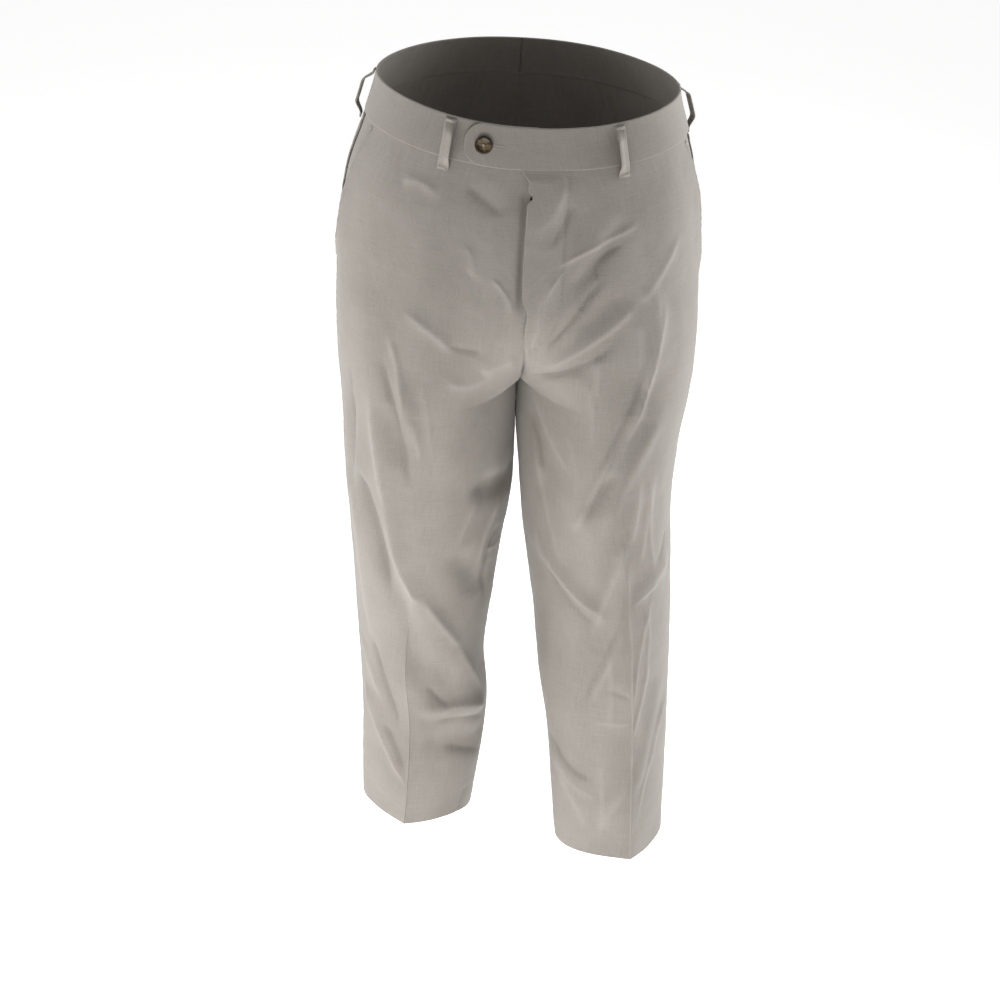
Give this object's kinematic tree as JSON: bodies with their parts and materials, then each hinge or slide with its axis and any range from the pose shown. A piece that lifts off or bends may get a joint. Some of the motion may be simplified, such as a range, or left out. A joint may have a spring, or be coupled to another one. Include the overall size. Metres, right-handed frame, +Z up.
{
  "type": "dress trousers",
  "caption": "Flat-front dress trousers in the hollow shape they keep when worn, with a tabbed waistband, belt loops, slanted pockets, a zip fly and pressed creases.",
  "frame": {"origin": "middle of the waist ring, level with the waistband's top edge at the sides", "axes": "+Z up, the front faces -Y, +X is the wearer's left"},
  "size_m": [0.4041, 0.2731, 0.9986],
  "materials": {
    "cloth": "matte plain weave in heathered stone beige, with fine slubs",
    "zip_tape": "matte woven tape",
    "zip_metal": "dark antique metal, softly polished",
    "button": "mottled brown horn look, polished"
  },
  "bodies": {
    "trousers": {"front_left": "cloth", "front_right": "cloth", "back_left": "cloth", "back_right": "cloth", "waistband_left": "cloth", "waistband_right": "cloth", "pocket_facing_left": "cloth", "pocket_facing_right": "cloth", "fly_shield": "cloth", "belt_loop_front_left": "cloth", "belt_loop_side_left": "cloth", "belt_loop_back_left": "cloth", "belt_loop_back_centre": "cloth", "belt_loop_back_right": "cloth", "belt_loop_side_right": "cloth", "belt_loop_front_right": "cloth", "zip_tape": "zip_tape", "zip_slider": "zip_metal", "waist_button": "button"},
    "zip_pull": {"zip_pull": "zip_metal"}
  },
  "joints": [
    {"name": "zip_pull_swing", "type": "hinge", "parent": "trousers", "child": "zip_pull", "pos_m": [0.01448, -0.11543, -0.07437], "axis": [0.0095, -0.9915, 0.13], "range_deg": [-20, 38]}
  ]
}
